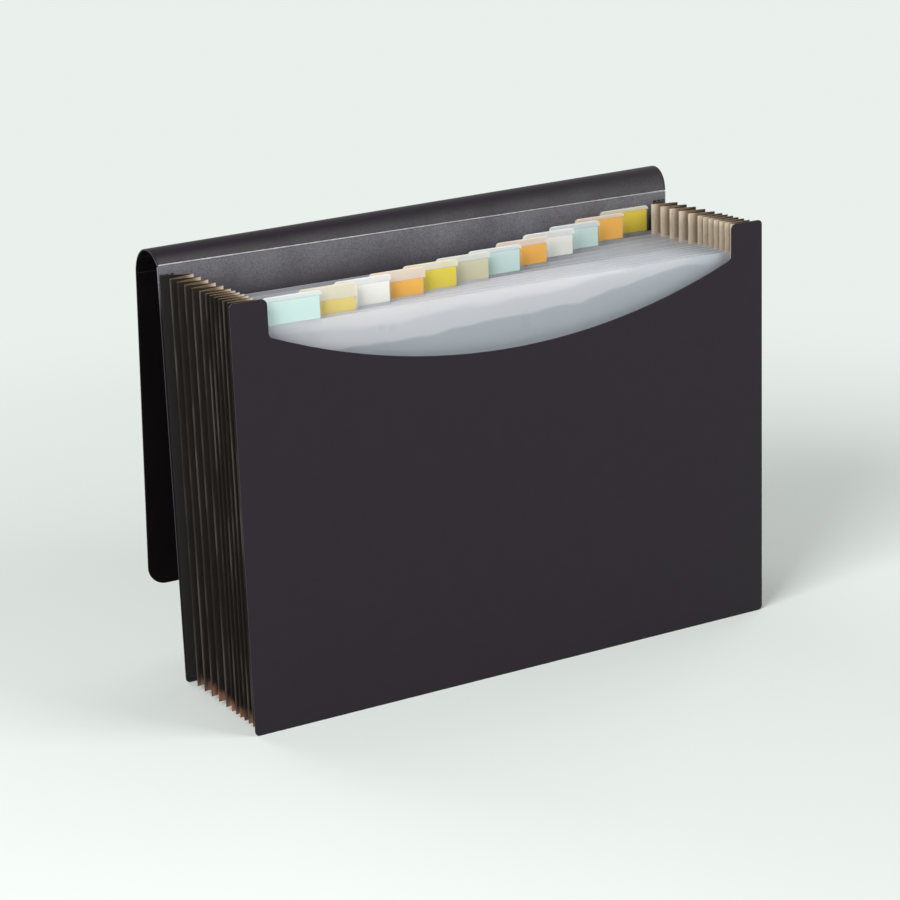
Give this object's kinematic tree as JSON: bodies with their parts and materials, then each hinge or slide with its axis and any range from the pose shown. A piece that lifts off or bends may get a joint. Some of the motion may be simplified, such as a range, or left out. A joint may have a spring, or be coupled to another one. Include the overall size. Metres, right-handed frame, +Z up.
{
  "type": "accordion file folder",
  "caption": "Free-standing expanding document file: scooped front cover, pleated gussets, frosted dividers with staggered colour tabs, and a cover flap folded back.",
  "frame": {"origin": "middle of the rear cover's bottom edge, on the surface that the file stands on", "axes": "+X to the right seen from the front, +Y to the rear, +Z up"},
  "size_m": [0.33, 0.1357, 0.2428],
  "materials": {
    "cover_sheet": "charcoal black polypropylene sheet, fine satin grain",
    "divider_film": "frosted clear polypropylene film",
    "gusset_film": "smoke brown translucent film, pleated",
    "sleeve_film": "clear film",
    "card_blue": "uncoated light blue card",
    "card_yellow": "uncoated yellow card",
    "card_white": "uncoated white card",
    "card_orange": "uncoated orange card",
    "card_lime": "uncoated yellow-green card",
    "card_beige": "uncoated beige card"
  },
  "bodies": {
    "rear_cover": {"rear_cover": "cover_sheet", "rear_hem": "gusset_film", "gusset_pleat_13": "gusset_film"},
    "divider_12": {"divider_12": "divider_film", "tab_card_12": "card_yellow", "tab_sleeve_12": "sleeve_film", "gusset_pleat_12": "gusset_film"},
    "divider_11": {"divider_11": "divider_film", "tab_card_11": "card_orange", "tab_sleeve_11": "sleeve_film", "gusset_pleat_11": "gusset_film"},
    "divider_10": {"divider_10": "divider_film", "tab_card_10": "card_blue", "tab_sleeve_10": "sleeve_film", "gusset_pleat_10": "gusset_film"},
    "divider_09": {"divider_09": "divider_film", "tab_card_09": "card_white", "tab_sleeve_09": "sleeve_film", "gusset_pleat_09": "gusset_film"},
    "divider_08": {"divider_08": "divider_film", "tab_card_08": "card_orange", "tab_sleeve_08": "sleeve_film", "gusset_pleat_08": "gusset_film"},
    "divider_07": {"divider_07": "divider_film", "tab_card_07": "card_blue", "tab_sleeve_07": "sleeve_film", "gusset_pleat_07": "gusset_film"},
    "divider_06": {"divider_06": "divider_film", "tab_card_06": "card_beige", "tab_sleeve_06": "sleeve_film", "gusset_pleat_06": "gusset_film"},
    "divider_05": {"divider_05": "divider_film", "tab_card_05": "card_lime", "tab_sleeve_05": "sleeve_film", "gusset_pleat_05": "gusset_film"},
    "divider_04": {"divider_04": "divider_film", "tab_card_04": "card_orange", "tab_sleeve_04": "sleeve_film", "gusset_pleat_04": "gusset_film"},
    "divider_03": {"divider_03": "divider_film", "tab_card_03": "card_white", "tab_sleeve_03": "sleeve_film", "gusset_pleat_03": "gusset_film"},
    "divider_02": {"divider_02": "divider_film", "tab_card_02": "card_yellow", "tab_sleeve_02": "sleeve_film", "gusset_pleat_02": "gusset_film"},
    "divider_01": {"divider_01": "divider_film", "tab_card_01": "card_blue", "tab_sleeve_01": "sleeve_film", "gusset_pleat_01": "gusset_film"},
    "front_cover": {"front_cover": "cover_sheet", "front_hem": "gusset_film"},
    "spine_slat_1": {"spine_slat_1": "cover_sheet"},
    "spine_slat_2": {"spine_slat_2": "cover_sheet"},
    "spine_slat_3": {"spine_slat_3": "cover_sheet"},
    "flap": {"flap": "cover_sheet"}
  },
  "joints": [
    {"name": "accordion_open", "type": "slide", "parent": "rear_cover", "child": "divider_12", "axis": [0, -1, 0], "range_m": [-0.00658, 0.012], "deforming": ["gusset_pleat_13"]},
    {"name": "pocket_12_open", "type": "slide", "parent": "divider_12", "child": "divider_11", "axis": [0, -1, 0], "range_m": [-0.00658, 0.012], "deforming": ["gusset_pleat_12"]},
    {"name": "pocket_11_open", "type": "slide", "parent": "divider_11", "child": "divider_10", "axis": [0, -1, 0], "range_m": [-0.00658, 0.012], "deforming": ["gusset_pleat_11"]},
    {"name": "pocket_10_open", "type": "slide", "parent": "divider_10", "child": "divider_09", "axis": [0, -1, 0], "range_m": [-0.00658, 0.012], "deforming": ["gusset_pleat_10"]},
    {"name": "pocket_09_open", "type": "slide", "parent": "divider_09", "child": "divider_08", "axis": [0, -1, 0], "range_m": [-0.00658, 0.012], "deforming": ["gusset_pleat_09"]},
    {"name": "pocket_08_open", "type": "slide", "parent": "divider_08", "child": "divider_07", "axis": [0, -1, 0], "range_m": [-0.00658, 0.012], "deforming": ["gusset_pleat_08"]},
    {"name": "pocket_07_open", "type": "slide", "parent": "divider_07", "child": "divider_06", "axis": [0, -1, 0], "range_m": [-0.00254, 0.00464], "deforming": ["gusset_pleat_07"]},
    {"name": "pocket_06_open", "type": "slide", "parent": "divider_06", "child": "divider_05", "axis": [0, -1, 0], "range_m": [-0.00254, 0.00464], "deforming": ["gusset_pleat_06"]},
    {"name": "pocket_05_open", "type": "slide", "parent": "divider_05", "child": "divider_04", "axis": [0, -1, 0], "range_m": [-0.00254, 0.00464], "deforming": ["gusset_pleat_05"]},
    {"name": "pocket_04_open", "type": "slide", "parent": "divider_04", "child": "divider_03", "axis": [0, -1, 0], "range_m": [-0.00254, 0.00464], "deforming": ["gusset_pleat_04"]},
    {"name": "pocket_03_open", "type": "slide", "parent": "divider_03", "child": "divider_02", "axis": [0, -1, 0], "range_m": [-0.00254, 0.00464], "deforming": ["gusset_pleat_03"]},
    {"name": "pocket_02_open", "type": "slide", "parent": "divider_02", "child": "divider_01", "axis": [0, -1, 0], "range_m": [-0.00254, 0.00464], "deforming": ["gusset_pleat_02"]},
    {"name": "pocket_01_open", "type": "slide", "parent": "divider_01", "child": "front_cover", "axis": [0, -1, 0], "range_m": [-0.00254, 0.00464], "deforming": ["gusset_pleat_01"]},
    {"name": "spine_crease_1", "type": "hinge", "parent": "rear_cover", "child": "spine_slat_1", "pos_m": [0, 0, 0.236], "axis": [1, 0, 0], "range_deg": [0, 45]},
    {"name": "spine_crease_2", "type": "hinge", "parent": "spine_slat_1", "child": "spine_slat_2", "pos_m": [0, 0.01116, 0.24221], "axis": [1, 0, 0], "range_deg": [0, 90]},
    {"name": "spine_crease_3", "type": "hinge", "parent": "spine_slat_2", "child": "spine_slat_3", "pos_m": [0, 0.02339, 0.23853], "axis": [1, 0, 0], "range_deg": [0, 90]},
    {"name": "spine_crease_4", "type": "hinge", "parent": "spine_slat_3", "child": "flap", "pos_m": [0, 0.02927, 0.22719], "axis": [1, 0, 0], "range_deg": [0, 45]}
  ],
  "couplings": [
    {"joint": "pocket_12_open", "follows": "accordion_open", "ratio": 1},
    {"joint": "pocket_11_open", "follows": "accordion_open", "ratio": 1},
    {"joint": "pocket_10_open", "follows": "accordion_open", "ratio": 1},
    {"joint": "pocket_09_open", "follows": "accordion_open", "ratio": 1},
    {"joint": "pocket_08_open", "follows": "accordion_open", "ratio": 1},
    {"joint": "pocket_07_open", "follows": "accordion_open", "ratio": 0.38623},
    {"joint": "pocket_06_open", "follows": "accordion_open", "ratio": 0.38623},
    {"joint": "pocket_05_open", "follows": "accordion_open", "ratio": 0.38623},
    {"joint": "pocket_04_open", "follows": "accordion_open", "ratio": 0.38623},
    {"joint": "pocket_03_open", "follows": "accordion_open", "ratio": 0.38623},
    {"joint": "pocket_02_open", "follows": "accordion_open", "ratio": 0.38623},
    {"joint": "pocket_01_open", "follows": "accordion_open", "ratio": 0.38623}
  ]
}
